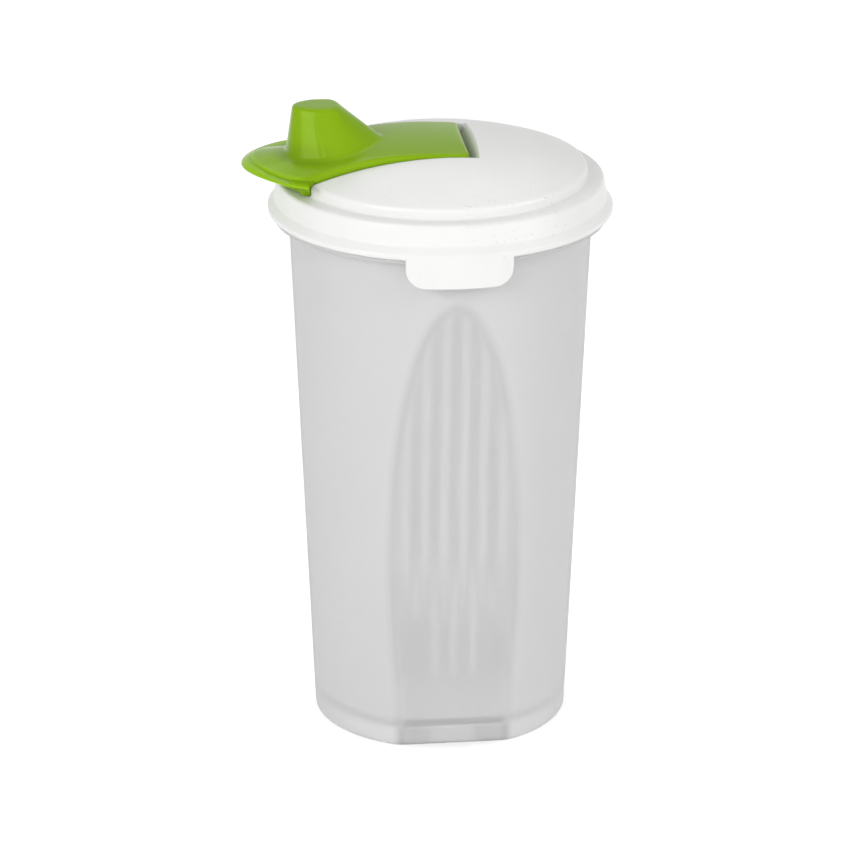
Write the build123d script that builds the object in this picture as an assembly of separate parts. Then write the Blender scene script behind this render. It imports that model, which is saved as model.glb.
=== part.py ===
"""Salad dressing shaker bottle: cup, snap lid and flip cover, in millimetres.

The origin is on the bottle's axis at the face it stands on. +Z is up, the grip panel and the
pull tab face -Y, and the cover's strap runs from its hinge towards -X, where its lip
overhangs the rim.
"""
from build123d import *
from math import asin, sqrt, tan
import os

# Cup: tapered body, raised floor on a standing ring
cup_height = 150.4
cup_foot_radius = 34.1
cup_mouth_radius = 40.9
cup_wall = 1.5
floor_thickness = 1.8
foot_recess_height = 5.0
foot_ring_width = 2.4
foot_round = 1.2
rim_round = 0.4

# Grip panel: nearly upright at the foot, then an arc that runs out into the cone
panel_drop = 22.2
panel_waist_height = 20.0
panel_foot_distance = 30.7
panel_waist_distance = 31.3

# Flutes in the panel: ends as shares of the panel's height, from the middle one outwards
flute_pitch = 5.15
flute_depth = 0.6
flute_radius = 4.0
flute_run_out = 6.0
flute_low_shares = (0.148, 0.148, 0.285)
flute_high_shares = (0.967, 0.913, 0.765)

# Rim of the cup: ledge below the lid, and the bead that the lid snaps over
ledge_radius = 44.7
ledge_thickness = 1.3
ledge_depth = 7.9
rim_bead_depth = 3.9
rim_bead_size = 0.4

# Lid: dome, step, shoulder, skirt with rolled bead
lid_wall = 1.6
dome_drop = 7.0
dome_edge_rise = 3.6
dome_inset = 3.3
step_width = 1.6
step_round = 1.5
step_foot_round = 0.6
shoulder_round = 0.9
skirt_clearance = 0.9
skirt_wall = 1.5
skirt_flare = 0.9
skirt_gap = 0.3
bead_height = 1.5
bead_reach = 1.6
bead_slope_height = 2.0
bead_edge = 0.4
snap_clearance = 0.3
snap_height = 1.1
plug_clearance = 0.3
plug_wall = 1.3
plug_depth = 6.0
plug_draft = 0.3

# Pull tab, which hangs from the skirt at the front
tab_width = 28.3
tab_drop = 7.5
tab_corner = 5.0
tab_thickness = 1.05

# Channel across the dome for the cover's strap, with a leaning end the open strap nears
channel_width = 30.8
channel_depth = 7.4
channel_wall = 2.0
channel_end = 9.4
channel_end_slope = 0.466

# Hinge: barrel on the strap, stub pins in blind holes of the channel's walls
hinge_reach = 2.6
hinge_drop = 3.2
barrel_radius = 1.8
pin_radius = 0.9
pin_bite = 1.2
pin_clearance = 0.05
pin_end_clearance = 0.2

# Flip cover: strap, nose and lip
strap_clearance = 0.4
strap_proud = 0.6
strap_end = 4.8
strap_skin = 1.6
strap_rib_depth = 3.4
strap_rib_width = 1.6
strap_round = 0.5
lip_overhang = 7.0
lip_radius = 22.6
lip_thickness = 1.4
lip_edge = 0.5
lip_slope_width = 4.0
nose_radius = 15.8
nose_inset = 2.7
nose_rise = 3.0
border_rise = 2.3
border_share = 1.8
apron_clearance = 0.8
apron_wall = 1.2
apron_gap = 0.3

# Strap's cross-sections, evenly spaced from its end to just past the lip: how far its middle
# and its edges lie below its crown, as shares of the dome's drop
middle_drop_shares = (0.04, 0.0, 0.0, 0.10, 0.27, 0.44, 0.59, 0.73)
edge_drop_shares = (0.19, 0.13, 0.15, 0.28, 0.57, 0.92, 0.95, 0.95)

# Beak: the cover's hollow cone, and the spout that stands inside it
beak_height = 9.5
beak_front_step = 1.7
beak_top_length = 11.6
beak_top_width = 9.8
beak_front_slope = 0.153
beak_back_slope = 1.09
beak_side_slope = 0.45
beak_round = 1.0
beak_wall = 1.2
spout_clearance = 0.7
spout_top_length = 9.6
spout_top_width = 8.0
spout_back_slope = 0.35
spout_side_slope = 0.2
spout_wall = 1.1
spout_top_gap = 1.6
stopper_depth = 0.8
stopper_clearance = 0.8
stopper_wall = 1.0

# How far cuts run past what they cut
overrun = 2.0

# Places that follow from the sizes
taper = (cup_mouth_radius - cup_foot_radius) / cup_height
panel_height = cup_height - panel_drop
floor_top = foot_recess_height + floor_thickness
ledge_top = cup_height - ledge_depth
rim_bead_z = cup_height - rim_bead_depth
rim_bead_reach = cup_foot_radius + taper * rim_bead_z + rim_bead_size

seat_z = cup_height
shoulder_z = seat_z + lid_wall
dome_edge_radius = cup_mouth_radius - dome_inset
dome_edge_z = shoulder_z + dome_edge_rise
dome_top_z = dome_edge_z + dome_drop
dome_radius = (dome_edge_radius**2 + dome_drop**2) / (2 * dome_drop)
step_radius = dome_edge_radius + step_width
skirt_z = ledge_top + skirt_gap
skirt_inner_radius = rim_bead_reach + skirt_clearance
skirt_top_radius = skirt_inner_radius + skirt_wall
skirt_low_radius = skirt_top_radius + skirt_flare
bead_radius = skirt_low_radius + bead_reach
plug_radius = cup_mouth_radius - cup_wall - plug_clearance
plug_inner_radius = plug_radius - plug_wall

channel_half = channel_width / 2
strap_half = channel_half - strap_clearance
crown_z = dome_top_z + strap_proud
hinge_z = dome_top_z - hinge_drop
apron_radius = step_radius + apron_clearance
lip_reach = bead_radius + lip_overhang
lip_low_z = shoulder_z + nose_rise
lip_high_z = lip_low_z + lip_thickness
lip_centre = lip_reach - lip_radius
nose_centre = lip_reach - nose_inset - nose_radius

beak_top_z = crown_z + beak_height
beak_ceiling_z = beak_top_z - beak_wall
beak_front = dome_edge_radius + beak_front_step
spout_top_z = beak_ceiling_z - spout_top_gap
spout_front = beak_front + beak_front_slope * (beak_top_z - spout_top_z)
spout_front -= (beak_wall + spout_clearance) * sqrt(1 + beak_front_slope**2)

# Leaning oval cones: height, front and sizes of the top, then slopes of front, back and sides
beak_form = (beak_top_z, beak_front, beak_top_length, beak_top_width,
             beak_front_slope, beak_back_slope, beak_side_slope)
spout_form = (spout_top_z, spout_front, spout_top_length, spout_top_width,
              beak_front_slope, spout_back_slope, spout_side_slope)


def revolved(outline):
    """Solid of revolution about Z from a closed outline in the XZ plane."""
    return revolve(make_face(outline), Axis.Z)


def cylinder(radius, low, high):
    """Upright cylinder on the axis between two heights."""
    return Pos(0, 0, (low + high) / 2) * Cylinder(radius, high - low)


def block(x_low, x_high, y_half, z_low, z_high):
    """Box that is symmetric about the XZ plane."""
    centre = Pos((x_low + x_high) / 2, 0, (z_low + z_high) / 2)
    return centre * Box(x_high - x_low, 2 * y_half, z_high - z_low)


def tapered_body(inset, low, high):
    """The cup's panelled cone between two heights, drawn in on all sides by an inset."""
    low_radius = cup_foot_radius + taper * low - inset
    high_radius = cup_foot_radius + taper * high - inset
    cone = Pos(0, 0, (low + high) / 2) * Cone(low_radius, high_radius, high - low)
    return cone - panel_cutter(inset)


def panel_distance(z):
    """Distance of the grip panel from the cup's axis at a height."""
    if z < panel_waist_height:
        share = z / panel_waist_height
        return panel_foot_distance + share * (panel_waist_distance - panel_foot_distance)
    run = panel_height - panel_waist_height
    rise = cup_foot_radius + taper * panel_height - panel_waist_distance
    radius = (run**2 + rise**2) / (2 * rise)
    return panel_waist_distance + radius - sqrt(radius**2 - (z - panel_waist_height) ** 2)


def panel_cutter(inset):
    """What lies outside the grip panel's face, moved towards the axis by an inset."""
    top = cup_height + overrun
    middle = (panel_waist_height + top) / 2
    far = -2 * cup_mouth_radius
    foot = Vector(0, inset - panel_foot_distance, -overrun)
    knee = Vector(0, inset - panel_foot_distance, 0)
    waist = Vector(0, inset - panel_waist_distance, panel_waist_height)
    half_way = Vector(0, inset - panel_distance(middle), middle)
    end = Vector(0, inset - panel_distance(top), top)
    outline = [
        Line(foot, knee),
        Line(knee, waist),
        ThreePointArc(waist, half_way, end),
        Line(end, (0, far, top)),
        Line((0, far, top), (0, far, -overrun)),
        Line((0, far, -overrun), foot),
    ]
    return extrude(make_face(outline), cup_mouth_radius, dir=(1, 0, 0), both=True)


def flute_cutter(x, low, high):
    """Bent round bar that touches the panel at two heights and sinks in between them."""
    middle = (low + high) / 2
    low_y = panel_distance(low) + flute_radius
    high_y = panel_distance(high) + flute_radius
    middle_y = panel_distance(middle) + flute_radius - flute_depth
    start = Vector(x, -low_y, low)
    end = Vector(x, -high_y, high)
    half_way = Vector(x, -middle_y, middle)
    path = ThreePointArc(start, half_way, end)
    before = path.position_at(0) - path.tangent_at(0) * flute_run_out
    after = path.position_at(1) + path.tangent_at(1) * flute_run_out
    run_in = Line(before, start)
    run_on = Line(end, after)
    section = Plane(origin=before, z_dir=path.tangent_at(0)) * Circle(flute_radius)
    return sweep(section, Wire([run_in, path, run_on]))


def make_cup():
    """Translucent cup with its panel, flutes, ledge and snap bead."""
    cup = tapered_body(0, 0, cup_height)
    cup = fillet(cup.edges().group_by(Axis.Z)[0], foot_round)
    cup += cylinder(ledge_radius, ledge_top - ledge_thickness, ledge_top)
    bead_centre = rim_bead_reach - rim_bead_size
    cup += Pos(0, 0, rim_bead_z) * Torus(bead_centre, rim_bead_size)
    cup -= tapered_body(cup_wall, floor_top, cup_height + overrun)
    cup -= tapered_body(foot_ring_width, -overrun, foot_recess_height)
    for side in range(-2, 3):
        low = panel_height * flute_low_shares[abs(side)]
        high = panel_height * flute_high_shares[abs(side)]
        cup -= flute_cutter(side * flute_pitch, low, high)
    return fillet(cup.edges().group_by(Axis.Z)[-1], rim_round)


def dome_arc(radius, drop):
    """Arc of the dome from the axis out to a radius, lowered or thinned by a drop."""
    centre_z = dome_top_z - dome_radius
    sphere = dome_radius - drop
    middle = radius / 2
    points = [(r, 0, centre_z + sqrt(sphere**2 - r**2)) for r in (0, middle, radius)]
    return ThreePointArc(*points), points[0], points[-1]


def lowered_dome(drop):
    """Everything under a copy of the dome that is set lower by a drop."""
    reach = step_radius + overrun
    arc, top, edge = dome_arc(reach, 0)
    corner = Vector(reach, 0, 0)
    outline = [arc, Line(edge, corner), Line(corner, (0, 0, 0)), Line((0, 0, 0), top)]
    return Pos(0, 0, -drop) * revolved(outline)


def dome_corner_z():
    """Height at which the dome's edge, carried on straight, meets the step."""
    slope = asin(dome_edge_radius / dome_radius)
    return dome_edge_z - step_width * tan(slope)


def lid_outer_outline():
    """Outside of the lid from the dome's edge down to the inside of the skirt's foot."""
    bead_top = skirt_z + bead_height
    points = [
        (dome_edge_radius, 0, dome_edge_z),
        (step_radius, 0, dome_corner_z()),
        (step_radius, 0, shoulder_z),
        (skirt_top_radius, 0, shoulder_z),
        (skirt_low_radius, 0, bead_top + bead_slope_height),
        (bead_radius, 0, bead_top),
        (bead_radius, 0, skirt_z + bead_edge),
        (bead_radius - bead_edge, 0, skirt_z),
        (skirt_inner_radius, 0, skirt_z),
    ]
    rounds = [step_round, step_foot_round, shoulder_round, shoulder_round,
              bead_edge / 2, bead_edge / 4, bead_edge / 4]
    return FilletPolyline(*points, radius=rounds)


def lid_inner_outline(underside):
    """Inside of the lid from the skirt's foot up to the dome's underside."""
    snap_radius = rim_bead_reach + snap_clearance
    plug_low = seat_z - plug_depth
    points = [
        (skirt_inner_radius, 0, skirt_z),
        (snap_radius, 0, skirt_z + snap_height),
        (snap_radius, 0, skirt_z + snap_height + bead_edge),
        (skirt_inner_radius, 0, skirt_z + 2 * snap_height + bead_edge),
        (skirt_inner_radius, 0, seat_z),
        (plug_radius, 0, seat_z),
        (plug_radius - plug_draft, 0, plug_low),
        (plug_inner_radius - plug_draft, 0, plug_low),
        (plug_inner_radius, 0, shoulder_z),
        underside,
    ]
    return Polyline(*points)


def channel_block():
    """Walls, end and floor of the channel, before the channel itself is cut."""
    high = dome_top_z + overrun
    body = block(-step_radius, channel_end + channel_wall,
                 channel_half + channel_wall, seat_z, high)
    body -= lowered_dome(channel_depth + lid_wall)
    arc, top, edge = dome_arc(dome_edge_radius, 0)
    corner = (step_radius, 0, dome_corner_z())
    foot = (step_radius, 0, seat_z)
    centre = (0, 0, seat_z)
    rim = FilletPolyline(edge, corner, foot, radius=[step_round])
    inside = revolved([arc, rim, Line(foot, centre), Line(centre, top)])
    return body & inside


def channel_void():
    """The channel itself, down to its floor and out through the step."""
    high = crown_z + overrun
    foot_x = channel_end - channel_end_slope * (dome_top_z - shoulder_z)
    high_x = channel_end + channel_end_slope * (high - dome_top_z)
    corners = [
        (-apron_radius, 0, shoulder_z),
        (foot_x, 0, shoulder_z),
        (high_x, 0, high),
        (-apron_radius, 0, high),
    ]
    profile = make_face(Polyline(*corners, close=True))
    void = extrude(profile, channel_half, dir=(0, 1, 0), both=True)
    return void - lowered_dome(channel_depth)


def oval_cone(form, inset, low, high):
    """Leaning cone with oval sections, drawn in by an inset measured across its wall."""
    top, front, length, width, front_slope, back_slope, side_slope = form
    sections = []
    for z in (low, high):
        down = top - z
        front_x = front + front_slope * down - inset * sqrt(1 + front_slope**2)
        back_x = front - length - back_slope * down + inset * sqrt(1 + back_slope**2)
        half = width / 2 + side_slope * down - inset * sqrt(1 + side_slope**2)
        oval = Ellipse((front_x - back_x) / 2, half)
        sections.append(Pos(-(front_x + back_x) / 2, 0, z) * oval)
    return loft(sections)


def hinge_rod(radius, length):
    """Cylinder along the hinge's axis, centred on the bottle."""
    return Pos(hinge_reach, 0, hinge_z) * Rot(90, 0, 0) * Cylinder(radius, length)


def pull_tab():
    """Tab that carries the bead's outer face on downwards."""
    outer = bead_radius
    ring = cylinder(outer, skirt_z - tab_drop, skirt_z + bead_edge)
    ring -= cylinder(outer - tab_thickness, 0, cup_height)
    tall = 2 * tab_drop
    plate = RectangleRounded(tab_width, tall, tab_corner)
    plane = Plane(origin=(0, 0, skirt_z), x_dir=(1, 0, 0), z_dir=(0, -1, 0))
    shape = extrude(plane * plate, outer + overrun)
    return ring & shape


def make_lid():
    """White snap lid with its channel, spout, plug wall and pull tab."""
    arc, top, edge = dome_arc(dome_edge_radius, 0)
    under_radius = plug_inner_radius - lid_wall / 2
    under_arc, under_top, under_edge = dome_arc(under_radius, lid_wall)
    outer = lid_outer_outline()
    inner = lid_inner_outline(under_edge)
    lid = revolved([arc, outer, inner, under_arc, Line(under_top, top)])
    lid += channel_block()
    lid -= channel_void()
    spout = oval_cone(spout_form, 0, seat_z, spout_top_z)
    lid += spout & cylinder(step_radius, seat_z, spout_top_z)
    bore = oval_cone(spout_form, spout_wall, seat_z - overrun, spout_top_z)
    lid -= bore & cylinder(plug_inner_radius, seat_z - overrun, spout_top_z)
    lid += pull_tab()
    hole_length = channel_width + 2 * (pin_bite + pin_end_clearance)
    return lid - hinge_rod(pin_radius + pin_clearance, hole_length)


def strap_section(x, half, middle_z, edge_z, low_z):
    """Cross-section of the strap: crowned top, upright sides and flat underside."""
    left = Vector(x, -half, edge_z)
    right = Vector(x, half, edge_z)
    crown = Vector(x, 0, middle_z)
    low_left = Vector(x, -half, low_z)
    low_right = Vector(x, half, low_z)
    outline = [
        ThreePointArc(left, crown, right),
        Line(right, low_right),
        Line(low_right, low_left),
        Line(low_left, left),
    ]
    return make_face(outline)


def strap_body(inset, sink, depth):
    """Loft along the strap, drawn in at its sides and end and sunk below its top."""
    half = strap_half - inset
    start = strap_end - inset
    step = (start + lip_reach + overrun) / (len(edge_drop_shares) - 1)
    sections = []
    for place, (middle, edge) in enumerate(zip(middle_drop_shares, edge_drop_shares)):
        middle_z = crown_z - middle * dome_drop - sink
        edge_z = crown_z - edge * dome_drop
        x = start - place * step
        sections.append(strap_section(x, half, middle_z, edge_z - sink, edge_z - depth))
    return loft(sections)


def nose_border():
    """Cone whose flank slopes from the lip's edge up past the raised nose's."""
    base = Pos(-lip_centre, 0, lip_high_z) * Circle(lip_radius)
    top_radius = lip_radius + border_share * (nose_radius - lip_radius)
    top_centre = lip_centre + border_share * (nose_centre - lip_centre)
    top_z = lip_high_z + border_share * border_rise
    return loft([base, Pos(-top_centre, 0, top_z) * Circle(top_radius)])


def make_lip():
    """Lip outside the step, thin at its edge, and the wall that closes the channel's mouth."""
    high = crown_z + overrun
    edge_z = lip_high_z - lip_edge
    root_radius = lip_radius - lip_slope_width
    lip = cylinder(lip_radius, edge_z, lip_high_z)
    lip += Pos(0, 0, (lip_low_z + edge_z) / 2) * Cone(root_radius, lip_radius, edge_z - lip_low_z)
    lip = Pos(-lip_centre, 0, 0) * lip - cylinder(apron_radius, seat_z, high)
    apron = cylinder(apron_radius + apron_wall, shoulder_z + apron_gap, lip_high_z)
    apron -= cylinder(apron_radius, seat_z, high)
    return lip + (apron & block(-lip_reach, 0, strap_half, seat_z, high))


def strap_hollow():
    """What is hollow under the strap: between its ribs, and inside the nose's rim."""
    hollow = strap_body(strap_rib_width, strap_skin, crown_z - seat_z)
    room = cylinder(apron_radius, seat_z, crown_z + overrun)
    nose_room = Pos(-nose_centre, 0, lip_high_z) * Cylinder(nose_radius - strap_skin, lip_reach)
    room += nose_room - cylinder(apron_radius + apron_wall, 0, crown_z + lip_reach)
    return hollow & room


def make_stopper():
    """Short oval tube that hangs from the beak's ceiling into the spout's bore."""
    low = spout_top_z - stopper_depth
    inset = spout_wall + stopper_clearance
    stopper = oval_cone(spout_form, inset, low, beak_ceiling_z)
    return stopper - oval_cone(spout_form, inset + stopper_wall, low, beak_ceiling_z)


def make_flip_cover():
    """Green cover: strap, nose, lip, hollow beak with its stopper, hinge barrel and pins."""
    strap = strap_body(0, 0, strap_rib_depth)
    rims = strap.edges().filter_by(lambda edge: edge.length > lip_reach).sort_by(Axis.Z)[-2:]
    end_rim = strap.edges().filter_by_position(Axis.X, strap_end, strap_end).sort_by(Axis.Z)[-1]
    strap = fillet([*rims, end_rim], strap_round)
    inside = block(-apron_radius, strap_end, strap_half, seat_z, crown_z + overrun)
    cover = (strap & inside) + (strap & nose_border()) + make_lip()
    cone = oval_cone(beak_form, 0, lip_high_z, beak_top_z)
    cover += fillet(cone.edges().group_by(Axis.Z)[-1], beak_round)
    cover -= strap_hollow()
    hollow = oval_cone(beak_form, beak_wall, seat_z, beak_ceiling_z)
    cover -= hollow & cylinder(apron_radius, seat_z, beak_top_z)
    cover += make_stopper()
    cover += hinge_rod(barrel_radius, 2 * strap_half)
    return cover + hinge_rod(pin_radius, channel_width + 2 * pin_bite)


os.makedirs("parts", exist_ok=True)
cup = make_cup()
lid = make_lid()
flip_cover = make_flip_cover()
export_step(cup, "parts/cup.step")
export_step(lid, "parts/lid.step")
export_step(flip_cover, "parts/flip_cover.step")
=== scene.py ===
from math import acos, atan2, cos, exp, pi, radians, sin, sqrt

import bmesh
import bpy
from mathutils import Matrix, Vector, geometry


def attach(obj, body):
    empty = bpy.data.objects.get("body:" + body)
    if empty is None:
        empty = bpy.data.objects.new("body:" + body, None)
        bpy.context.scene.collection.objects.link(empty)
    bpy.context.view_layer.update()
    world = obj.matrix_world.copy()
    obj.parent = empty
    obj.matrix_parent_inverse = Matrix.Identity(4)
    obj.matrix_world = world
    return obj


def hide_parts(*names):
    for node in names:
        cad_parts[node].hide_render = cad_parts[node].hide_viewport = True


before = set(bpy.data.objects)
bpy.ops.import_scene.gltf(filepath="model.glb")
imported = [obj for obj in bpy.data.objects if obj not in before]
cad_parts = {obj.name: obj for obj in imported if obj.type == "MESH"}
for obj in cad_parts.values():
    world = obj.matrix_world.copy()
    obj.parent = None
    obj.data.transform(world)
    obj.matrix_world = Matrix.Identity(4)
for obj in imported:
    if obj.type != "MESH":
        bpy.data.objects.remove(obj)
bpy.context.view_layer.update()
MM = 0.001

# Colours of the moulded plastics, as the two ends of a faint mottling
WHITE_LOW, WHITE_HIGH = (0.80, 0.80, 0.785), (0.83, 0.83, 0.82)
GREEN_LOW, GREEN_HIGH = (0.214, 0.385, 0.006), (0.229, 0.40, 0.010)
SPECK_SHADE = 0.86

# Transmission, roughness and lightness of the cup's frosted wall and of its clear grip panel
FROST_T, CLEAR_T = 0.5, 0.7
FROST_R, CLEAR_R = 0.55, 0.28
FROST_C, CLEAR_C = 0.877, 0.963


# Node materials

def new_material(name):
    """Empty node material with its output."""
    material = bpy.data.materials.new(name)
    material.use_nodes = True
    tree = material.node_tree
    tree.nodes.clear()
    output = tree.nodes.new("ShaderNodeOutputMaterial")
    return material, tree, output


def node(tree, kind, **values):
    """Node with its properties, and its inputs by name or number, set."""
    made = tree.nodes.new(kind)
    for key, value in values.items():
        if hasattr(made, key):
            setattr(made, key, value)
        else:
            made.inputs[key.replace("_", " ")].default_value = value
    return made


def noise(tree, scale, detail=3.0, roughness=0.5):
    """Noise in the object's own metres."""
    where = node(tree, "ShaderNodeTexCoord")
    made = node(tree, "ShaderNodeTexNoise", Scale=scale, Detail=detail, Roughness=roughness)
    tree.links.new(where.outputs["Object"], made.inputs["Vector"])
    return made.outputs["Fac"]


def ramp(tree, source, stops):
    """Colour ramp over a source."""
    made = node(tree, "ShaderNodeValToRGB")
    elements = made.color_ramp.elements
    while len(elements) < len(stops):
        elements.new(0.5)
    for element, (place, colour) in zip(elements, stops):
        element.position = place
        element.color = (*colour, 1.0) if isinstance(colour, tuple) else (colour,) * 3 + (1.0,)
    tree.links.new(source, made.inputs["Fac"])
    return made.outputs["Color"]


def bump(tree, height, strength, distance, below=None):
    """Bump from a height, over another normal where one is given."""
    made = node(tree, "ShaderNodeBump", Strength=strength, Distance=distance)
    tree.links.new(height, made.inputs["Height"])
    if below is not None:
        tree.links.new(below, made.inputs["Normal"])
    return made.outputs["Normal"]


def soft_edges(tree, radius):
    """Normal that rounds the moulded edges."""
    return node(tree, "ShaderNodeBevel", samples=6, Radius=radius).outputs["Normal"]


def scaled(tree, colour, factor):
    """Colour made lighter or darker by a factor."""
    made = node(tree, "ShaderNodeVectorMath", operation="SCALE")
    tree.links.new(colour, made.inputs[0])
    tree.links.new(factor, made.inputs["Scale"])
    return made.outputs[0]


def maths(tree, operation, *values):
    """Math node on numbers and sockets."""
    made = node(tree, "ShaderNodeMath", operation=operation)
    for place, value in enumerate(values):
        if isinstance(value, (int, float)):
            made.inputs[place].default_value = value
        else:
            tree.links.new(value, made.inputs[place])
    return made.outputs[0]


def attribute(tree, name):
    """Point attribute of the mesh as a value."""
    return node(tree, "ShaderNodeAttribute", attribute_name=name).outputs["Fac"]


def blended(tree, mask, low, high):
    """Value that goes from low to high with a mask."""
    made = node(tree, "ShaderNodeMapRange")
    made.inputs["To Min"].default_value = low
    made.inputs["To Max"].default_value = high
    tree.links.new(mask, made.inputs["Value"])
    return made.outputs[0]


def lid_plastic():
    """White moulded polypropylene: soft gloss, faint mottling and patches of fine specks."""
    material, tree, output = new_material("white_moulded")
    shader = node(tree, "ShaderNodeBsdfPrincipled", IOR=1.49)
    shader.inputs["Subsurface Weight"].default_value = 0.12
    shader.inputs["Subsurface Radius"].default_value = (0.004, 0.004, 0.0035)
    shader.inputs["Subsurface Scale"].default_value = 0.5
    colour = ramp(tree, noise(tree, 60.0), [(0.3, WHITE_LOW), (0.7, WHITE_HIGH)])
    specks = ramp(tree, noise(tree, 800.0, 2.0), [(0.67, 0.0), (0.70, 1.0)])
    patches = ramp(tree, noise(tree, 45.0, 1.0), [(0.55, 0.0), (0.64, 1.0)])
    worn = maths(tree, "MULTIPLY", specks, patches)
    marked = scaled(tree, colour, blended(tree, worn, 1.0, SPECK_SHADE))
    tree.links.new(marked, shader.inputs["Base Color"])
    gloss = ramp(tree, noise(tree, 240.0, 5.0), [(0.35, 0.30), (0.7, 0.40)])
    tree.links.new(gloss, shader.inputs["Roughness"])
    grain = bump(tree, noise(tree, 1500.0, 2.0), 0.02, 0.0001, soft_edges(tree, 0.0005))
    tree.links.new(grain, shader.inputs["Normal"])
    tree.links.new(shader.outputs[0], output.inputs["Surface"])
    return material


def cover_plastic():
    """Lime green moulded plastic with a soft gloss, and painted highlights and shade from the
    mesh's "light".
    """
    material, tree, output = new_material("green_moulded")
    shader = node(tree, "ShaderNodeBsdfPrincipled", IOR=1.49)
    shader.inputs["Specular IOR Level"].default_value = 0.16
    shader.inputs["Specular Tint"].default_value = (0.8, 1.0, 0.3, 1.0)
    colour = ramp(tree, noise(tree, 60.0), [(0.3, GREEN_LOW), (0.7, GREEN_HIGH)])
    light = maths(tree, "ADD", attribute(tree, "light"), 1.0)
    tree.links.new(scaled(tree, colour, light), shader.inputs["Base Color"])
    gloss = ramp(tree, noise(tree, 80.0, 2.0), [(0.35, 0.17), (0.7, 0.20)])
    tree.links.new(gloss, shader.inputs["Roughness"])
    grain = bump(tree, noise(tree, 1500.0, 2.0), 0.006, 0.0001)
    tree.links.new(grain, shader.inputs["Normal"])
    tree.links.new(shader.outputs[0], output.inputs["Surface"])
    return material


def cup_plastic():
    """Translucent polypropylene: frosted wall, clearer grip panel, and painted light and shade
    from the mesh's "tone".
    """
    material, tree, output = new_material("frosted_moulded")
    shader = node(tree, "ShaderNodeBsdfPrincipled", IOR=1.45)
    mask = attribute(tree, "clear")
    tree.links.new(blended(tree, mask, FROST_T, CLEAR_T), shader.inputs["Transmission Weight"])
    tree.links.new(blended(tree, mask, FROST_R, CLEAR_R), shader.inputs["Roughness"])
    # Lightness of frosted and clear plastic, times the painted light and shade in "tone"
    tone = maths(tree, "MULTIPLY", blended(tree, mask, FROST_C, CLEAR_C), attribute(tree, "tone"))
    cloud = blended(tree, noise(tree, 35.0), 0.985, 1.015)
    tree.links.new(maths(tree, "MULTIPLY", tone, cloud), shader.inputs["Base Color"])
    grain = bump(tree, noise(tree, 900.0, 2.0), 0.06, 0.0002)
    tree.links.new(grain, shader.inputs["Normal"])
    tree.links.new(shader.outputs[0], output.inputs["Surface"])
    return material


def white_to_the_eye(tree):
    """1 for rays that show the background itself: seen, mirrored or through the cup."""
    path = node(tree, "ShaderNodeLightPath")
    seen = maths(tree, "MAXIMUM", path.outputs["Is Camera Ray"], path.outputs["Is Glossy Ray"])
    return maths(tree, "MAXIMUM", seen, path.outputs["Is Transmission Ray"])


# Mesh building: rings of points in millimetres, joined up and filled

class Shell:
    """Points and faces of one moulded piece."""

    def __init__(self):
        self.points = []
        self.faces = []

    def ring(self, points):
        """Adds points and returns their numbers."""
        first = len(self.points)
        self.points.extend(points)
        return list(range(first, len(self.points)))

    def bridge(self, low, high):
        """Quads between two closed rings of the same length."""
        for here in range(len(low)):
            after = (here + 1) % len(low)
            self.faces.append((low[here], low[after], high[after], high[here]))

    def skin(self, rings, capped):
        """Surface through closed rings, with both ends capped or the last joined to the first."""
        numbers = [self.ring(points) for points in rings]
        for low, high in zip(numbers, numbers[1:]):
            self.bridge(low, high)
        if capped:
            self.faces.append(tuple(numbers[0]))
            self.faces.append(tuple(numbers[-1]))
        else:
            self.bridge(numbers[-1], numbers[0])
        return numbers

    def fill(self, outer, inner, height, spacing):
        """Triangles between an outer ring and the ring of a hole, on a surface."""
        border = [Vector(self.points[number][:2]) for number in outer]
        hole = [Vector(self.points[number][:2]) for number in inner]
        xs = [point.x for point in border]
        ys = [point.y for point in border]
        inside = []
        for row in range(int((max(xs) - min(xs)) / spacing) + 1):
            for column in range(int((max(ys) - min(ys)) / spacing) + 1):
                shift = 0.5 * (row % 2)
                place = Vector((min(xs) + row * spacing, min(ys) + (column + shift) * spacing))
                if within(place, border) and not within(place, hole):
                    if nearest(place, border + hole) > 0.6 * spacing:
                        inside.append(place)
        added = self.ring([(place.x, place.y, height(place.x, place.y)) for place in inside])
        numbers = list(outer) + list(inner) + added
        loops = []
        for first, count in ((0, len(outer)), (len(outer), len(inner))):
            loops.extend((first + here, first + (here + 1) % count) for here in range(count))
        found = geometry.delaunay_2d_cdt(border + hole + inside, loops, [], 0, 1e-6)
        for face in found[2]:
            corners = [found[3][corner][0] for corner in face]
            middle = sum((found[0][corner] for corner in face), Vector((0, 0))) / len(face)
            if within(middle, border) and not within(middle, hole):
                self.faces.append(tuple(numbers[corner] for corner in corners))

    def piece(self, name, body, material, *nodes):
        """The finished object, riding on its body and standing for CAD nodes."""
        mesh = bpy.data.meshes.new(name)
        mesh.from_pydata([Vector(point) * MM for point in self.points], [], self.faces)
        shape = bmesh.new()
        shape.from_mesh(mesh)
        bmesh.ops.recalc_face_normals(shape, faces=shape.faces)
        shape.to_mesh(mesh)
        shape.free()
        mesh.polygons.foreach_set("use_smooth", [True] * len(mesh.polygons))
        mesh.materials.append(material)
        made = bpy.data.objects.new(name, mesh)
        bpy.context.scene.collection.objects.link(made)
        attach(made, body)
        if nodes:
            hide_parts(*nodes)
        return made


def give_values(made, name, values):
    """Point attribute of a piece, read by its material."""
    made.data.attributes.new(name, "FLOAT", "POINT").data.foreach_set("value", values)


def within(place, loop):
    """True inside a closed loop of plan points."""
    hit = False
    for here, point in enumerate(loop):
        before = loop[here - 1]
        if (point.y > place.y) != (before.y > place.y):
            cross = point.x + (place.y - point.y) / (before.y - point.y) * (before.x - point.x)
            if place.x < cross:
                hit = not hit
    return hit


def nearest(place, points):
    """Distance from a place to the nearest of some points."""
    return min((place - point).length for point in points)


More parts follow.
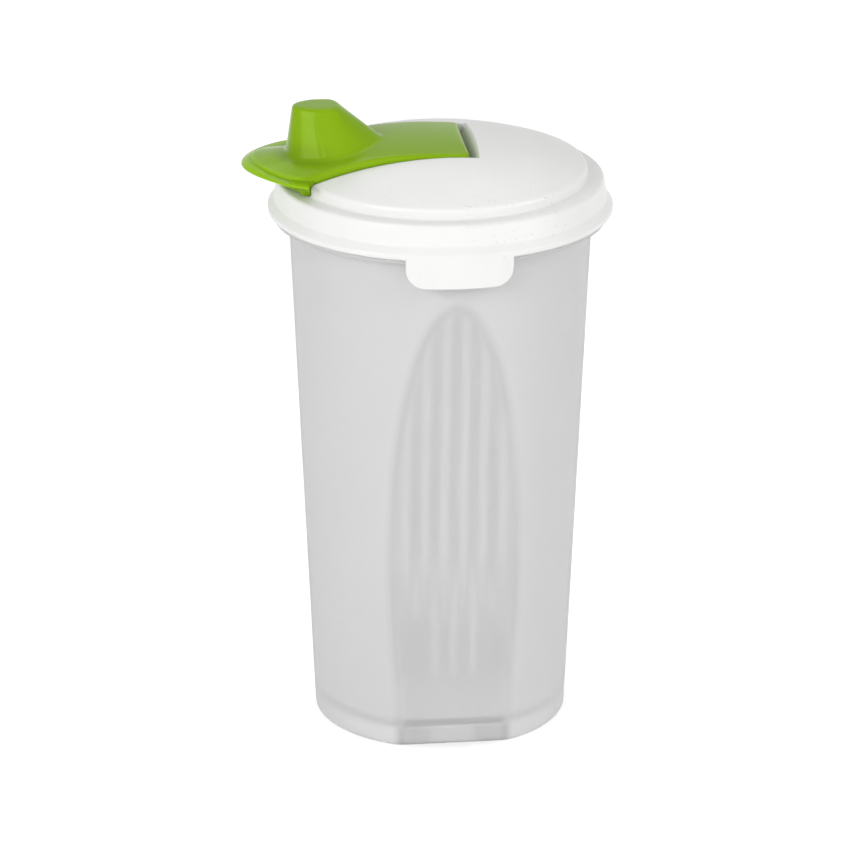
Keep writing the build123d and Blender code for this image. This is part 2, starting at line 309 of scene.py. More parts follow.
def beside_line(place, line):
    """Distance from a place to a line drawn through points."""
    near = min(range(len(line)), key=lambda spot: (line[spot] - place).length_squared)
    gaps = []
    for first in (max(near - 1, 0), min(near, len(line) - 2)):
        run = line[first + 1] - line[first]
        share = min(max((place - line[first]).dot(run) / run.length_squared, 0.0), 1.0)
        gaps.append((line[first] + run * share - place).length)
    return min(gaps)


def smooth_min(first, second, reach):
    """Smaller of two lengths, blended where they differ by less than a reach."""
    over = max(reach - abs(first - second), 0.0)
    return min(first, second) - over * over / (4 * reach)


def bend(start, corner, end, count):
    """Points of a soft corner, its ends left out."""
    points = []
    for place in range(1, count):
        share = place / count
        parts = ((1 - share) ** 2, 2 * share * (1 - share), share**2)
        points.append(tuple(sum(part * value for part, value in zip(parts, axis))
                            for axis in zip(start, corner, end)))
    return points


# Cup: one closed shell round its profile, with the grip panel and its flutes

CUP_FOOT_R, CUP_TOP, CUP_WALL = 34.1, 150.4, 1.5
TAPER = 6.8 / CUP_TOP
UNDER_FLOOR, FLOOR_Z, FLOOR_REACH = 5.0, 6.8, 29
STAND_WALL, STAND_ROUND = 2.4, 1.2

# Grip panel: straight below its waist, hollow above it; its flutes from the middle one out
PANEL_TOP, PANEL_WAIST = 128.2, 20
PANEL_FOOT_Y, PANEL_LEAN = 30.7, 0.03
PANEL_WAIST_Y, PANEL_BEND = 31.3, 685.25
PANEL_CHAMFER, PANEL_SOFT = 0.22, 0.35
INNER_SOFT = 1.0
FLUTE_PITCH, FLUTE_DEPTH, FLUTE_SPREAD = 5.15, 0.6, 8
FLUTE_LOWS = (19.0, 19.0, 36.5)
FLUTE_HIGHS = (124.0, 117.0, 98.1)

# Columns of the cup's mesh: over half the panel, beside it, and round the rest; its rows up the
# outside and down the inside; points up one side of the panel's outline
PANEL_COLUMNS, SIDE_COLUMNS, ROUND_COLUMNS = 50, 12, 90
OUTER_START, OUTER_STEP, INNER_START, INNER_STEP, INNER_ROWS = 1.8, 1.4, 150.0, 2.0, 72
OUTLINE_STEPS = 160

# Painted shade: how much darker the panel's border, its inside between the lit lands and flutes,
# the band at the floor's edge and the foot are drawn
BORDER_PAINTED_SHADE, PANEL_PAINTED_SHADE, BAND_PAINTED_SHADE, FOOT_PAINTED_SHADE = 0.05, 0.075, 0.23, 0.27
# Clearness of the floor, and painted light: how much lighter the floor is drawn
FLOOR_CLEAR, FLOOR_PAINTED_LIGHT = 1.0, 0.09

# Where the panel's look ends: beside it, behind it and above it; and the depth given beyond that
PANEL_SIDE, PANEL_BACK_Y, OVER_PANEL = 21, -24, 4
FAR_OFF = -99.0

# Profiles as height and radius, or as height and what is added to or taken from the radius
STAND_INSETS = ((4.9, 2.46), (4.6, STAND_WALL), (3.0, STAND_WALL), (0.7, STAND_WALL),
                (0.3, 2.3), (0.06, 2.05), (0.0, 1.75), (0.0, STAND_ROUND))
LEDGE_FOOT = ((140.7, 0.04), (141.0, 0.22))
LEDGE = ((141.2, 41.6), (141.2, 44.3), (141.3, 44.58), (141.5, 44.7), (142.2, 44.7),
         (142.4, 44.58), (142.5, 44.3), (142.5, 41.4), (142.65, 40.85), (142.9, 40.6))
SNAP_BEAD = ((144.5, 0), (146.05, 0), (146.2, 0.2), (146.5, 0.4), (146.8, 0.2), (146.95, 0))
MOUTH_INSETS = ((149.6, 0), (150.0, 0), (150.28, 0.12), (CUP_TOP, 0.4), (CUP_TOP, 1.1),
                (150.28, 1.38))
FLOOR_INSETS = ((7.6, 1.56), (7.15, 1.8), (6.9, 2.2), (FLOOR_Z, 2.7))


def cone_radius(z):
    """Radius of the cup's outside at a height."""
    return CUP_FOOT_R + TAPER * z


def panel_distance(z):
    """Distance of the grip panel from the axis at a height."""
    if z < PANEL_WAIST:
        return PANEL_FOOT_Y + PANEL_LEAN * z
    return PANEL_WAIST_Y + PANEL_BEND - sqrt(PANEL_BEND**2 - (z - PANEL_WAIST) ** 2)


def panel_half(z):
    """Half width of the grip panel at a height."""
    return sqrt(max(cone_radius(z) ** 2 - panel_distance(z) ** 2, 0.0))


def flute_depth(x, z):
    """Depth of the flutes in the panel: round grooves that fade in and out lengthways."""
    depth = 0.0
    for side in range(-2, 3):
        low, high = FLUTE_LOWS[abs(side)], FLUTE_HIGHS[abs(side)]
        run = (2 * z - low - high) / (high - low)
        groove = FLUTE_DEPTH * (1 - run * run) - (x - side * FLUTE_PITCH) ** 2 / FLUTE_SPREAD
        depth = -smooth_min(-depth, -groove, 0.12)
    return max(depth - 0.03, 0.0)


def wall_radius(angle, z, inset, fluted):
    """Radius of the panelled wall at an angle from the front, drawn in by an inset."""
    cone = cone_radius(z) - inset
    if cos(angle) < 0.7:
        return cone
    if not fluted:
        return smooth_min(cone, (panel_distance(z) - inset) / cos(angle), INNER_SOFT)
    radius = cone
    for _ in range(4):
        flat = (panel_distance(z) - inset - flute_depth(radius * sin(angle), z)) / cos(angle)
        chamfer = (cone + flat) / 2 - PANEL_CHAMFER
        radius = smooth_min(smooth_min(cone, flat, PANEL_SOFT), chamfer, PANEL_SOFT)
    return radius


def cup_angles(z, inset):
    """Angles round the cup from the front, fine over the panel, with points kept on its edge."""
    turn = radians(10)
    if z < PANEL_TOP:
        turn = max(acos(min((panel_distance(z) - inset) / (cone_radius(z) - inset), 1.0)), turn)
    step = radians(0.55)
    middle, side, rest = PANEL_COLUMNS, SIDE_COLUMNS, ROUND_COLUMNS
    angles = [turn * (place - middle) / middle for place in range(2 * middle + 1)]
    angles += [turn + step * place for place in range(1, side + 1)]
    left = 2 * pi - 2 * turn - 2 * side * step
    angles += [turn + side * step + left * place / rest for place in range(1, rest)]
    return angles + [2 * pi - turn - step * place for place in range(side, 0, -1)]


def cup_ring(z, inset, share=1.0, fluted=False):
    """Ring of the panelled wall, or a share of it across the floor."""
    points = []
    for angle in cup_angles(z, inset):
        radius = share * wall_radius(angle, z, inset, fluted)
        points.append((radius * sin(angle), -radius * cos(angle), z))
    return points


def round_ring(z, radius):
    """Plain round ring."""
    return [(radius * sin(angle), -radius * cos(angle), z) for angle in cup_angles(z, 0)]


def panel_outline():
    """Points up one side of the grip panel's outline, as half width and height."""
    points = []
    for place in range(OUTLINE_STEPS + 1):
        z = PANEL_TOP * (1 - (1 - place / OUTLINE_STEPS) ** 2)
        points.append(Vector((panel_half(z), z)))
    return points


def eased(value, low, high):
    """Smooth step from 0 at low to 1 at high."""
    share = min(max((value - low) / (high - low), 0.0), 1.0)
    return share * share * (3 - 2 * share)


def panel_depth(x, y, z, outline):
    """How far inside the grip panel's outline a point is, below zero outside it."""
    if y > PANEL_BACK_Y or abs(x) > PANEL_SIDE or z > PANEL_TOP + OVER_PANEL:
        return FAR_OFF
    depth = beside_line(Vector((abs(x), z)), outline)
    half = panel_half(z) if z < PANEL_TOP else outline[-1].x
    return depth if abs(x) < half else -depth


def panel_painted_light(x, z, depth):
    """Painted light and shade of the panel: painted shade on its border and inside it, painted
    highlights on the lands above and the flutes below.
    """
    place = min(max(round(x / FLUTE_PITCH), -2), 2)
    aside = abs(x - place * FLUTE_PITCH)
    land = eased(aside, 0.9, 2.0) * (1 - eased(aside, 3.4, 4.6)) * eased(depth, 1.3, 3.2)
    low = FLUTE_LOWS[abs(place)]
    flute = (1 - eased(aside, 0.5, 1.7)) * eased(z, low - 0.5, low + 3.5)
    upper = eased(z, 36.0, 60.0)
    light = upper * land + (1 - upper) * flute
    border = eased(depth, -1.6, -0.6) * (1 - eased(depth, 0.6, 2.2))
    inside = eased(depth, -0.6, 0.6) * (1 - 0.6 * (1 - eased(z, 14.0, 22.0)))
    return 1 - BORDER_PAINTED_SHADE * border - inside * PANEL_PAINTED_SHADE * (1 - light)


def panel_values(points):
    """How clear each point of the cup is, and its painted light and shade: darker border, inside
    and foot, lighter lands, flutes and floor.
    """
    outline = panel_outline()
    clear, tone = [], []
    for x, y, z in points:
        depth = panel_depth(x, y, z, outline)
        over_foot = eased(z, 1.1, 1.9)
        # Painted shade on the foot and on the band up to the floor, inside the panel's outline
        foot = FOOT_PAINTED_SHADE * (1 - over_foot) + BAND_PAINTED_SHADE * over_foot * (1 - eased(z, 5.2, 6.2))
        foot *= eased(depth, -1.2, 1.2)
        on_floor = z < 7 and sqrt(x * x + y * y) < FLOOR_REACH
        # Painted light: the floor is drawn lighter
        if on_floor:
            foot = -FLOOR_PAINTED_LIGHT
        clear.append(FLOOR_CLEAR if on_floor else eased(depth, 0.2, 2.8))
        tone.append((1 - foot) * (panel_painted_light(x, z, depth) if depth > FAR_OFF else 1.0))
    return clear, tone


def make_cup():
    """Frosted cup in one closed shell."""
    spread = (0.02, 0.25, 0.5, 0.75, 0.9)
    rings = [cup_ring(UNDER_FLOOR, STAND_WALL, share) for share in (*spread, 0.975)]
    rings += [cup_ring(z, inset) for z, inset in STAND_INSETS]
    for place in range(1, 6):
        turn = radians(18 * place)
        height, inset = (STAND_ROUND - STAND_ROUND * part for part in (cos(turn), sin(turn)))
        rings.append(cup_ring(height, inset, fluted=place > 3))
    rows = int((LEDGE_FOOT[0][0] - 0.1 - OUTER_START) / OUTER_STEP) + 1
    heights = [OUTER_START + OUTER_STEP * place for place in range(rows)]
    rings += [cup_ring(z, 0, fluted=True) for z in heights]
    rings += [round_ring(z, cone_radius(z) + out) for z, out in LEDGE_FOOT]
    rings += [round_ring(z, radius) for z, radius in LEDGE]
    rings += [round_ring(z, cone_radius(z) + out) for z, out in SNAP_BEAD]
    rings += [cup_ring(z, inset) for z, inset in MOUTH_INSETS]
    heights = [INNER_START - INNER_STEP * place for place in range(INNER_ROWS)]
    rings += [cup_ring(z, CUP_WALL) for z in heights]
    rings += [cup_ring(z, inset) for z, inset in FLOOR_INSETS]
    rings += [cup_ring(FLOOR_Z, FLOOR_INSETS[-1][1], share) for share in spread[::-1]]
    shell = Shell()
    shell.skin(rings, True)
    made = shell.piece("cup_shell", "cup", cup_plastic(), "cup")
    clear, tone = panel_values(shell.points)
    give_values(made, "clear", clear)
    # Painted light and shade of the cup, read by its material as "tone"
    give_values(made, "tone", tone)


# Flip cover: strap with its nose and beak, lip, hinge barrel and stopper

STRAP_STEP = 8.5463
STRAP_MIDDLES = (162.92, 163.2, 163.2, 162.5, 161.31, 160.12, 159.07, 158.09)
STRAP_EDGES = (161.87, 162.29, 162.15, 161.24, 159.21, 156.76, 156.55, 156.55)
STRAP_HALF, STRAP_CORNER, STRAP_WALL = 15.0, 3.2, 1.6
RIB_DEPTH, NOSE_FOOT = 3.4, 155.8
HINGE_X, HINGE_Z = 2.6, 159.4
STRAP_END, CURL_END, CURL_R = 4.8, 6.6, 4.1
NOSE_X, NOSE_R = -34.6, 15.8
LIP_X, LIP_R, LIP_Z, LIP_END = -30.42, 22.6, 156.5, -37.0
LIP_WAIST, LIP_WAVES = 0.75, 2.4
LIP_LIFT, LIP_LIFT_FROM, LIP_LIFT_TO = 0.45, radians(20), radians(75)
STEP_R, APRON_HALF, APRON_BULGE = 40.03, 15.3, 2.4
BEAK_TOP, BEAK_WALL, BEAK_MIDDLE = 172.7, 1.2, -33.3
FOOT_ROUND, HEAD_ROUND = 1.1, 1.1
STOPPER_X, STOPPER_HALVES = -33.2, (2.9, 2.1)

# Painted highlights on the lip's and nose's rims, painted light on the nose's lobe, and painted
# shade in the hollow at the beak's foot
LIP_RIM_PAINTED_HIGHLIGHT, NOSE_RIM_PAINTED_HIGHLIGHT, LOBE_PAINTED_LIGHT = 0.36, 0.3, 0.4
NOSE_RIM_R, NOSE_RIM_REACH = 15.2, 0.6
HOLLOW_PAINTED_SHADE, HOLLOW_REACH = 0.2, 2.4

# Points round the strap's outline: along its end, round a corner, along a side, round the nose
END_POINTS, CORNER_POINTS, SIDE_POINTS, NOSE_POINTS = 40, 8, 70, 60
# Steps across and round the lip and the apron, and round the hinge barrel and the stopper
LIP_STEPS, LIP_SECTIONS, APRON_STEPS = 12, 120, 60
BARREL_POINTS, STOPPER_POINTS = 40, 48

# Lip's edge as distance inwards and height, apron's section as radius and height, half of the
# hinge barrel as place along it and radius, stopper's section as distance outwards and height
LIP_EDGE = ((0.4, -0.04), (0.1, -0.14), (0.0, -0.27), (0.1, -0.42), (0.4, -0.5), (4.2, -1.2),
            (13.0, -1.4))
APRON_SECTION = ((38.4, 156.0), (41.2, 156.0), (41.2, 152.75), (41.05, 152.4), (40.8, 152.3),
                 (38.9, 152.3), (38.5, 152.4), (38.4, 152.7))
BARREL_HALF = ((-16.6, 0.6), (-16.3, 0.9), (-15.0, 0.9), (-15.0, 1.6), (-14.8, 1.8),
               (-7.0, 1.8))
STOPPER_SECTION = ((0, 171.6), (0, 169.3), (-0.2, 169.1), (-0.8, 169.1), (-1.0, 169.3),
                   (-1.0, 171.6))

# Beak's section at its base and at its top: corners of its far half from front to back, and
# how much of the sides each corner's rounding takes
BEAK_BASE = ((-41.2, 3.2), (-38.8, 6.6), (-32.6, 9.6), (-25.4, 10.6), (-20.0, 7.4), (-15.6, 2.0))
BEAK_HEAD = ((-39.35, 1.5), (-37.6, 3.4), (-34.0, 5.0), (-28.8, 4.8), (-27.8, 3.4), (-27.5, 1.4))
BEAK_ROUNDS = (0.48, 0.48, 0.22, 0.48, 0.48, 0.48)


def along(values, x):
    """Smooth curve through evenly spaced values along the strap."""
    place = min(max((STRAP_END - x) / STRAP_STEP, 0.0), len(values) - 1.001)
    first = int(place)
    t = place - first
    a = values[max(first - 1, 0)]
    b, c = values[first], values[first + 1]
    d = values[min(first + 2, len(values) - 1)]
    bent = (2 * a - 5 * b + 4 * c - d) * t * t + (3 * b - a - 3 * c + d) * t**3
    return b + 0.5 * ((c - a) * t + bent)


def strap_z(x, y):
    """Crowned top of the strap and its nose."""
    middle = along(STRAP_MIDDLES, x)
    top = middle - (middle - along(STRAP_EDGES, x)) * (y / STRAP_HALF) ** 2
    if x < HINGE_X:
        return top
    return smooth_min(top, HINGE_Z + sqrt(CURL_R**2 - (x - HINGE_X) ** 2), 0.25)


def underside(x, y):
    """Underside of the strap between its ribs."""
    return strap_z(x, y) - STRAP_WALL


def strap_outline(inset):
    """Plan of the strap with its nose: rounded end, straight sides, round nose."""
    half, end, radius = STRAP_HALF - inset, CURL_END - inset, NOSE_R - inset
    corner = max(STRAP_CORNER - inset, 0.2)
    join = NOSE_X - sqrt(radius**2 - half**2)
    turn = atan2(half, join - NOSE_X)
    width = 2 * (half - corner)
    points = [(end, -half + corner + width * place / END_POINTS) for place in range(END_POINTS)]
    for place in range(CORNER_POINTS):
        angle = radians(90 * place / CORNER_POINTS)
        points.append((end - corner + corner * cos(angle), half - corner + corner * sin(angle)))
    run = end - corner - join
    points += [(end - corner - run * place / SIDE_POINTS, half) for place in range(SIDE_POINTS)]
    sweep = 2 * (pi - turn)
    for place in range(NOSE_POINTS):
        angle = turn + sweep * place / NOSE_POINTS
        points.append((NOSE_X + radius * cos(angle), radius * sin(angle)))
    points += [(join + run * place / SIDE_POINTS, -half) for place in range(SIDE_POINTS)]
    for place in range(CORNER_POINTS):
        angle = radians(270 + 90 * place / CORNER_POINTS)
        points.append((end - corner + corner * cos(angle), -half + corner + corner * sin(angle)))
    return points


def rim_round(x):
    """Rounding of the strap's rim, finer along the nose."""
    return 0.4 + 0.4 * eased(x, -42, -36)


def rim_ring(shell, share):
    """Ring of the strap's rounded rim: share 0 at its foot, 1 where it meets the top."""
    inset = 0.8 * share
    points = []
    for x, y in strap_outline(inset):
        radius = rim_round(x)
        down = radius - sqrt(max(radius**2 - max(radius - inset, 0.0) ** 2, 0.0))
        points.append((x, y, strap_z(x, y) - down))
    return shell.ring(points)


def beak_section(share, inset):
    """Ring of the beak, a share of the way from its foot on the strap up to its top."""
    foot, head = beak_corner_ring(BEAK_BASE), beak_corner_ring(BEAK_HEAD)
    plan = [(x + share * (u - x), y + share * (v - y)) for (x, y), (u, v) in zip(foot, head)]
    points = []
    for (x, y), (u, v) in zip(shifted(plan, -inset), foot):
        low = strap_z(u, v)
        points.append((x, y, low + share * (BEAK_TOP - low)))
    return points


def beak_corner_ring(half):
    """Closed plan ring round the beak's corners, each rounded by its share."""
    corners = list(half) + [(x, -y) for x, y in reversed(half)]
    rounds = BEAK_ROUNDS + BEAK_ROUNDS[::-1]
    points = []
    for here, (corner, round_share) in enumerate(zip(corners, rounds)):
        before, after = corners[here - 1], corners[(here + 1) % len(corners)]
        start = tuple(c + round_share * (b - c) for c, b in zip(corner, before))
        end = tuple(c + round_share * (b - c) for c, b in zip(corner, after))
        points += [start, *bend(start, corner, end, 8), end]
    return points


def shifted(points, out):
    """Plan ring moved outwards along its own normals."""
    if out == 0:
        return points
    moved = []
    for here, (x, y) in enumerate(points):
        before, after = points[here - 2], points[(here + 2) % len(points)]
        run = Vector((after[0] - before[0], after[1] - before[1])).normalized()
        moved.append((x - out * run.y, y + out * run.x))
    middle_x = sum(x for x, y in points) / len(points)
    grown = sum(abs(x - middle_x) for x, y in moved) > sum(abs(x - middle_x) for x, y in points)
    if grown == (out > 0):
        return moved
    return [(2 * x - u, 2 * y - v) for (x, y), (u, v) in zip(points, moved)]


def beak_rings(shell):
    """Rings of the beak from its filleted foot on the strap up to its top; the foot's is first."""
    low, high = beak_section(0, 0), beak_section(1, 0)
    start = [(x, y, strap_z(x, y)) for x, y in shifted([point[:2] for point in low], FOOT_ROUND)]
    rise, crown = [], []
    for below, above in zip(low, high):
        length = sqrt(sum((b - a) ** 2 for a, b in zip(below, above)))
        for share, kept in ((FOOT_ROUND / length, rise), (1 - HEAD_ROUND / length, crown)):
            kept.append(tuple(a + share * (b - a) for a, b in zip(below, above)))
    inner = [(BEAK_MIDDLE + 0.8 * (x - BEAK_MIDDLE), 0.8 * y, z) for x, y, z in high]
    foot = list(zip(*[bend(a, b, c, 7) for a, b, c in zip(start, low, rise)]))
    edge = list(zip(*[bend(a, b, c, 6) for a, b, c in zip(crown, high, inner)]))
    flanks = []
    for place in range(1, 6):
        share = place / 6
        flanks.append([tuple(a + share * (b - a) for a, b in zip(below, above))
                       for below, above in zip(rise, crown)])
    flat = []
    for share in (0.6, 0.25, 0.02):
        flat.append([(BEAK_MIDDLE + share * (x - BEAK_MIDDLE), share * y, z) for x, y, z in inner])
    rings = [start, *foot, rise, *flanks, crown, *edge, inner, *flat]
    numbers = [shell.ring([tuple(point) for point in ring]) for ring in rings]
    for below, above in zip(numbers, numbers[1:]):
        shell.bridge(below, above)
    shell.faces.append(tuple(numbers[-1]))
    return numbers[0]


def hollow_rings(shell):
    """Rings of the hollow inside the beak, from the strap's underside up to the ceiling."""
    rings = [[(x, y, underside(x, y)) for x, y, z in beak_section(0, BEAK_WALL)]]
    rings += [beak_section(share, BEAK_WALL) for share in (0.15, 0.4, 0.65)]
    top = [(x, y, BEAK_TOP - BEAK_WALL) for x, y, z in beak_section(0.9, BEAK_WALL)]
    rings.append(top)
    rings.append([(BEAK_MIDDLE + 0.03 * (x - BEAK_MIDDLE), 0.03 * y, z) for x, y, z in top])
    numbers = [shell.ring(ring) for ring in rings]
    for below, above in zip(numbers, numbers[1:]):
        shell.bridge(below, above)
    shell.faces.append(tuple(numbers[-1]))
    return numbers[0]


def rib_foot(x):
    """Height of the ribs' lower edge under the strap, and of the nose's rim."""
    if x > LIP_END:
        return along(STRAP_EDGES, x) - RIB_DEPTH
    return NOSE_FOOT


def strap_painted_light(x, y, z, foot):
    """Painted light of the cover: painted shade in the hollow at the beak's foot, painted
    highlight on the nose's rim and painted light on its lobe.
    """
    front = eased(-x, 26.0, 36.0)
    low = 1 - eased(z - strap_z(x, y), 1.5, 5.0)
    hollow = exp(-((nearest(Vector((x, y)), foot) / HOLLOW_REACH) ** 2)) * low * front
    aside = (sqrt((x - NOSE_X) ** 2 + y * y) - NOSE_RIM_R) / NOSE_RIM_REACH
    rim = exp(-(aside**2)) * eased(-x, 36.0, 40.0)
    lobe = LOBE_PAINTED_LIGHT * eased(-x, 38.0, 46.0) * (1 - hollow)
    return NOSE_RIM_PAINTED_HIGHLIGHT * max(rim, lobe) - HOLLOW_PAINTED_SHADE * hollow


def make_strap(material):
    """Strap with its ribs, nose and hollow beak, in one closed shell."""
    shell = Shell()
    rims = [rim_ring(shell, share) for share in (0, 0.04, 0.14, 0.32, 0.6, 1.0)]
    for low, high in zip(rims, rims[1:]):
        shell.bridge(low, high)
    shell.fill(rims[-1], beak_rings(shell), strap_z, 0.75)
    foot = shell.ring([(x, y, rib_foot(x)) for x, y in strap_outline(0)])
    shell.bridge(rims[0], foot)
    inner_foot = shell.ring([(x, y, rib_foot(x)) for x, y in strap_outline(STRAP_WALL)])
    shell.bridge(foot, inner_foot)
    under = shell.ring([(x, y, underside(x, y)) for x, y in strap_outline(STRAP_WALL + 0.02)])
    shell.bridge(inner_foot, under)
    shell.fill(under, hollow_rings(shell), underside, 2.0)
    made = shell.piece("cover_strap", "flip_cover", material, "flip_cover")
    ring = [Vector(place) for place in beak_corner_ring(BEAK_BASE)]
    # Painted highlights and shade, read by the green material as "light"
    give_values(made, "light", [strap_painted_light(*point, ring) for point in shell.points])


def lip_edge(turn):
    """Radius and height of the lip's edge, turn radians from its tip: drawn in beside the tip."""
    radius = LIP_R - LIP_WAIST * sin(LIP_WAVES * min(turn, pi / LIP_WAVES)) ** 2
    return radius, LIP_Z + LIP_LIFT * (1 - eased(turn, LIP_LIFT_FROM, LIP_LIFT_TO))


def lip_top(x, y):
    """Top of the lip: a band that slopes from the nose's rim down to the lip's edge."""
    out = sqrt((x - NOSE_X) ** 2 + y * y)
    if out <= NOSE_R:
        return min(strap_z(x, y) - 0.7, 158.0)
    near_x, near_y = NOSE_X + (x - NOSE_X) * NOSE_R / out, y * NOSE_R / out
    edge_radius, edge_z = lip_edge(atan2(abs(y), LIP_X - x))
    nose = edge_z
    if near_x < -36:
        nose = max(strap_z(near_x, min(abs(near_y), STRAP_HALF)) - 0.45, edge_z)
    left = max(edge_radius - sqrt((x - LIP_X) ** 2 + y * y), 0.0)
    share = (out - NOSE_R) / max(out - NOSE_R + left, 1e-6)
    return edge_z + (nose - edge_z) * (1 - share)


def lip_section(angle):
    """Points of the lip's section at an angle round its middle, and the painted highlight on each
    along the rim.
    """
    away = cos(angle)
    start = LIP_X * -away + sqrt((LIP_X * away) ** 2 + STEP_R**2 - LIP_X**2)
    start = min(max(start, (LIP_END - LIP_X) / away), LIP_R - 0.02)
    edge_radius, edge_z = lip_edge(abs(angle - pi))
    width = edge_radius - start
    points, light = [], []
    for step in range(LIP_STEPS + 1):
        reach = start + max(width - 0.3, 0.6 * width) * step / LIP_STEPS
        x, y = LIP_X + reach * away, reach * sin(angle)
        points.append((x, y, lip_top(x, y)))
        # Painted highlight towards the lip's edge
        light.append(LIP_RIM_PAINTED_HIGHLIGHT * eased(reach, edge_radius - 3.4, edge_radius - 1.6))
    rim, deepest = min(0.3, 0.4 * width), LIP_EDGE[-1]
    for inward, down in LIP_EDGE:
        inset = inward / 0.4 * rim
        if inward > 0.5:
            inset = inward * min(width / deepest[0], 1.0)
        reach = edge_radius - min(inset, 0.98 * width)
        points.append((LIP_X + reach * away, reach * sin(angle), edge_z + down))
        light.append(LIP_RIM_PAINTED_HIGHLIGHT if inward < 1 else 0.0)
    points.append((LIP_X + start * away, start * sin(angle), edge_z + deepest[1]))
    return points, [*light, 0.0]


def make_lip(material):
    """Crescent of the lip outside the lid's step, thin and rounded at its edge."""
    first = pi - acos((LIP_X - LIP_END) / LIP_R)
    sweep = 2 * (pi - first)
    sections = [lip_section(first + sweep * place / LIP_SECTIONS)
                for place in range(LIP_SECTIONS + 1)]
    shell = Shell()
    shell.skin([points for points, light in sections], True)
    # Painted highlight along the lip's rim, read by the green material as "light"
    values = [value for points, light in sections for value in light]
    give_values(shell.piece("cover_lip", "flip_cover", material), "light", values)


def make_apron(material):
    """Wall under the lip that closes the channel's mouth and bulges over the lid's shoulder."""
    rings = []
    middle = APRON_STEPS // 2
    for place in range(APRON_STEPS + 1):
        y = APRON_HALF * (place - middle) / middle
        bulge = APRON_BULGE * (1 - eased(abs(y), 5.0, 13.0))
        rings.append([(-sqrt((radius + (bulge if radius > STEP_R else 0.0)) ** 2 - y * y), y, z)
                      for radius, z in APRON_SECTION])
    shell = Shell()
    shell.skin(rings, True)
    shell.piece("cover_apron", "flip_cover", material)


def make_hinge_barrel(material):
    """Barrel along the hinge's axis with its two stub pins."""
    middle = ((0, BARREL_HALF[-1][1]),)
    profile = BARREL_HALF + middle + tuple((-y, radius) for y, radius in reversed(BARREL_HALF))
    turns = [2 * pi * place / BARREL_POINTS for place in range(BARREL_POINTS)]
    rings = [[(HINGE_X + radius * cos(turn), y, HINGE_Z + radius * sin(turn)) for turn in turns]
             for y, radius in profile]
    shell = Shell()
    shell.skin(rings, True)
    shell.piece("cover_hinge_barrel", "flip_cover", material)


def make_stopper(material):
    """Oval tube that hangs from the beak's ceiling into the spout."""
    long, wide = STOPPER_HALVES
    turns = [2 * pi * place / STOPPER_POINTS for place in range(STOPPER_POINTS)]
    rings = [[(STOPPER_X + (long + out) * cos(turn), (wide + out) * sin(turn), z)
              for turn in turns] for out, z in STOPPER_SECTION]
    shell = Shell()
    shell.skin(rings, False)
    shell.piece("cover_stopper", "flip_cover", material)


# Stage: pale floor that keeps the shadow, white surroundings, soft lamps

FLOOR_SIZE = 6.0
WORLD_LEVEL = 0.54
FLOOR_PALE, FLOOR_SHADE = (0.85, 0.85, 0.85, 1.0), (0.45, 0.45, 0.45, 1.0)
# Glow that whitens the floor where it is seen, dimmed under the foot as a painted shadow, in
# metres from the axis
FLOOR_GLOW_AND_PAINTED_SHADOW = {"From Min": 0.031, "From Max": 0.0355, "To Min": 0.54, "To Max": 0.71}
LAMP_AIM = 0.09


def make_floor():
    """Wide pale floor at the foot of the cup."""
    mesh = bpy.data.meshes.new("floor")
    size = FLOOR_SIZE
    corners = [(-size, -size, 0), (size, -size, 0), (size, size, 0), (-size, size, 0)]
    mesh.from_pydata(corners, [], [(0, 1, 2, 3)])
    floor = bpy.data.objects.new("floor", mesh)
    bpy.context.scene.collection.objects.link(floor)
    material, tree, output = new_material("pale_floor")
    plain = node(tree, "ShaderNodeBsdfDiffuse", Color=FLOOR_PALE)
    shaded = node(tree, "ShaderNodeBsdfDiffuse", Color=FLOOR_SHADE)
    glow = node(tree, "ShaderNodeEmission")
    bright = node(tree, "ShaderNodeAddShader")
    tree.links.new(shaded.outputs[0], bright.inputs[0])
    tree.links.new(glow.outputs[0], bright.inputs[1])
    where = node(tree, "ShaderNodeTexCoord")
    length = node(tree, "ShaderNodeVectorMath", operation="LENGTH")
    tree.links.new(where.outputs["Object"], length.inputs[0])
    # Painted shadow: the floor's glow is dimmer under the cup's foot
    glow_past_painted_shadow = node(tree, "ShaderNodeMapRange", interpolation_type="SMOOTHSTEP")
    for name, value in FLOOR_GLOW_AND_PAINTED_SHADOW.items():
        glow_past_painted_shadow.inputs[name].default_value = value
    tree.links.new(length.outputs["Value"], glow_past_painted_shadow.inputs["Value"])
    tree.links.new(glow_past_painted_shadow.outputs[0], glow.inputs["Strength"])
    mix = node(tree, "ShaderNodeMixShader")
    tree.links.new(white_to_the_eye(tree), mix.inputs[0])
    tree.links.new(plain.outputs[0], mix.inputs[1])
    tree.links.new(bright.outputs[0], mix.inputs[2])
    tree.links.new(mix.outputs[0], output.inputs["Surface"])
    mesh.materials.append(material)


def make_world(level):
    """Even light all round, white wherever it is seen directly."""
    world = bpy.data.worlds.new("studio")
    bpy.context.scene.world = world
    world.use_nodes = True
    tree = world.node_tree
    tree.nodes.clear()
    output = node(tree, "ShaderNodeOutputWorld")
    light = node(tree, "ShaderNodeBackground", Strength=level)
    white = node(tree, "ShaderNodeBackground", Strength=1.0)
    mix = node(tree, "ShaderNodeMixShader")
    tree.links.new(white_to_the_eye(tree), mix.inputs[0])
    tree.links.new(light.outputs[0], mix.inputs[1])
    tree.links.new(white.outputs[0], mix.inputs[2])
    tree.links.new(mix.outputs[0], output.inputs["Surface"])


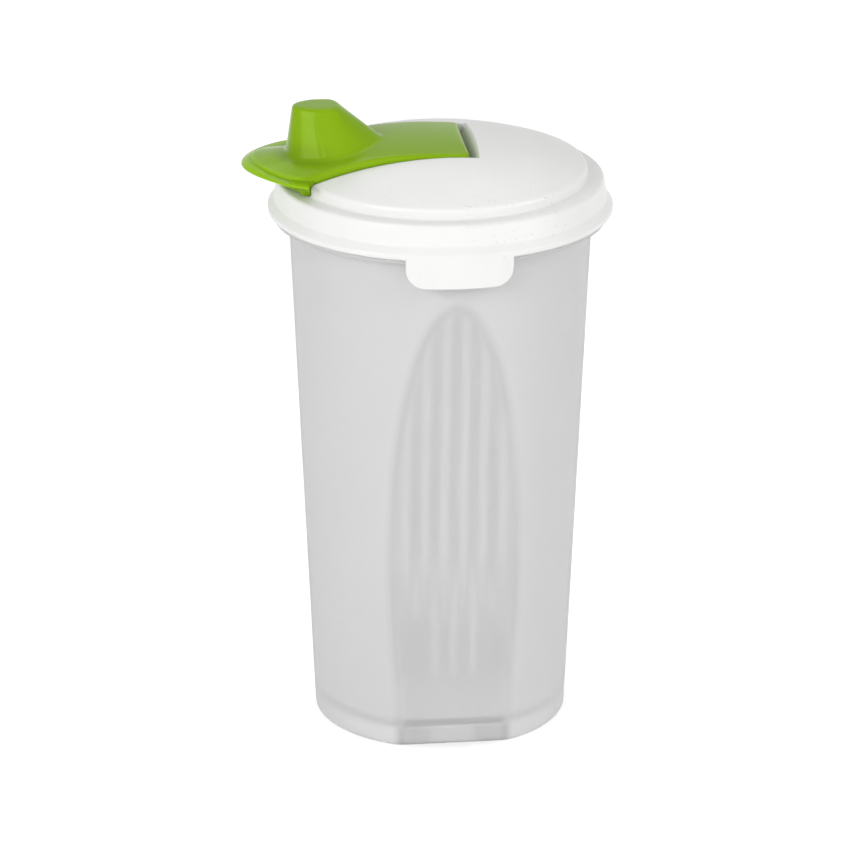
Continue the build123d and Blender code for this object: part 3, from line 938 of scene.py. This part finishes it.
def towards(azimuth, elevation):
    """Direction from the bottle at an azimuth from the front and an elevation, in radians."""
    level = cos(elevation)
    return Vector((sin(azimuth) * level, -cos(azimuth) * level, sin(elevation)))


def make_lamp(name, azimuth, elevation, distance, size, power, mirrored=True):
    """Square soft lamp that faces the bottle, and may be left out of its reflections."""
    lamp = bpy.data.lights.new(name, "AREA")
    lamp.size = size
    lamp.energy = power
    made = bpy.data.objects.new(name, lamp)
    bpy.context.scene.collection.objects.link(made)
    back = towards(radians(azimuth), radians(elevation))
    made.visible_glossy = mirrored
    made.location = Vector((0, 0, LAMP_AIM)) + back * distance
    made.rotation_euler = back.to_track_quat("Z", "Y").to_euler()


# Camera at the photograph's viewing angle

def make_camera():
    """Long lens from the front, a little from the left and above."""
    azimuth, elevation = radians(-6.6), radians(20.5)
    distance = 1.5
    picture, scale, aside = 850, 3694.0, 15.0  # pixels, pixels for a metre, pixels off centre
    back = towards(azimuth, elevation)
    right = Vector((cos(azimuth), sin(azimuth), 0))
    target = Vector((0, 0, 0.0807)) - right * (aside / scale)
    camera = bpy.data.cameras.new("camera")
    camera.sensor_width = 36.0
    camera.lens = scale * distance * camera.sensor_width / picture
    camera.clip_start = 0.05
    made = bpy.data.objects.new("camera", camera)
    bpy.context.scene.collection.objects.link(made)
    made.location = target + back * distance
    made.rotation_euler = back.to_track_quat("Z", "Y").to_euler()
    bpy.context.scene.camera = made


make_camera()
make_floor()
make_world(WORLD_LEVEL)
# Name, azimuth and elevation in degrees, distance and size in metres, power in watts
make_lamp("key", -50, 22, 1.2, 0.5, 5.6)
make_lamp("glint", -25, 26, 1.2, 0.07, 1.05)
make_lamp("front", 5, 14, 1.8, 1.4, 4.5)
make_lamp("fill", 62, 18, 1.4, 0.9, 7.0)
make_lamp("top", 170, 60, 1.3, 0.9, 2.6)
make_lamp("back", 195, 15, 1.8, 1.4, 2.8, mirrored=False)
bpy.context.scene.view_settings.view_transform = "Standard"

white = lid_plastic()
for place in bpy.data.objects["lid"].material_slots:
    place.material = white
make_cup()
green = cover_plastic()
make_strap(green)
make_lip(green)
make_apron(green)
make_hinge_barrel(green)
make_stopper(green)
